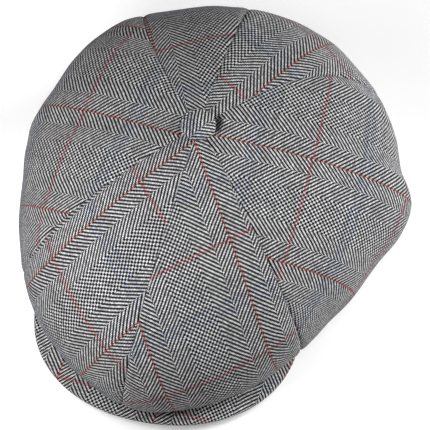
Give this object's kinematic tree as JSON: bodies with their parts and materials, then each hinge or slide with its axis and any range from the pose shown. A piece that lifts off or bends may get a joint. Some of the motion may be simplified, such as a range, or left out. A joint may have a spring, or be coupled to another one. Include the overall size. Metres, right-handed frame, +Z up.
{
  "type": "baker boy cap",
  "caption": "Soft baker boy cap in grey herringbone check cloth, with a full panelled crown, a covered top button and a short peak.",
  "frame": {"origin": "centre of the bounding box in plan, on the surface that the cap rests on", "axes": "+Z up, -Y the way the peak points, +X the wearer's left"},
  "size_m": [0.292, 0.3191, 0.1175],
  "materials": {
    "crown_cloth": "woven herringbone check, black and off-white with fine red lines",
    "button_cloth": "woven herringbone, black and off-white",
    "peak_cloth": "woven herringbone check, black and off-white with fine red lines",
    "band_cloth": "woven herringbone, black and off-white"
  },
  "bodies": {
    "root": {"crown_panel_front_left": "crown_cloth", "crown_panel_front_right": "crown_cloth", "crown_panel_side_left": "crown_cloth", "crown_panel_side_right": "crown_cloth", "crown_panel_back_left": "crown_cloth", "crown_panel_back_right": "crown_cloth", "top_button": "button_cloth", "peak": "peak_cloth", "head_band": "band_cloth"}
  },
  "joints": []
}
